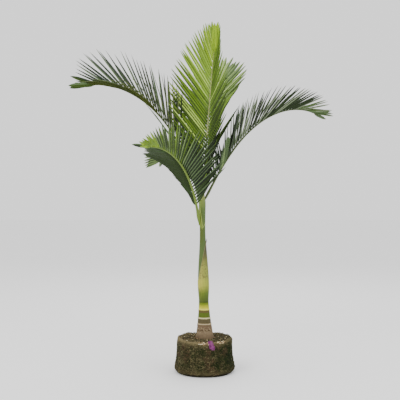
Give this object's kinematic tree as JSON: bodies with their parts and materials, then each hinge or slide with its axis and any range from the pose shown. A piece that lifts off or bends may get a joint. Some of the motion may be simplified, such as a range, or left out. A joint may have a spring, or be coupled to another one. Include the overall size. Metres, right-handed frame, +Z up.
{
  "type": "alexander palm",
  "caption": "Young feather palm with a ringed, flared trunk, a slim green crownshaft and arching fronds, standing upright on a round soil root ball.",
  "frame": {"origin": "centre of the flat underside of the root ball", "axes": "+Z up along the standing palm, -Y towards the viewer of the picture, +X to the picture's right"},
  "size_m": [1.5784, 1.1828, 1.9752],
  "materials": {
    "soil": "matte",
    "bark": "matte",
    "dry_sheath": "satin",
    "green_sheath": "satin",
    "young_leaf": "satin",
    "back_leaf": "satin",
    "leaf": "satin"
  },
  "bodies": {
    "root": {"root_ball": "soil", "trunk": "bark", "old_sheath": "dry_sheath", "crownshaft": "green_sheath", "frond_centre": "young_leaf", "frond_front_lower": "leaf", "frond_front_upper": "leaf", "frond_left_lower": "leaf", "frond_left_upper": "leaf", "frond_right_lower": "leaf", "frond_right_upper": "leaf", "frond_back": "back_leaf", "frond_rear_lower": "leaf", "frond_rear_upper": "leaf"}
  },
  "joints": []
}
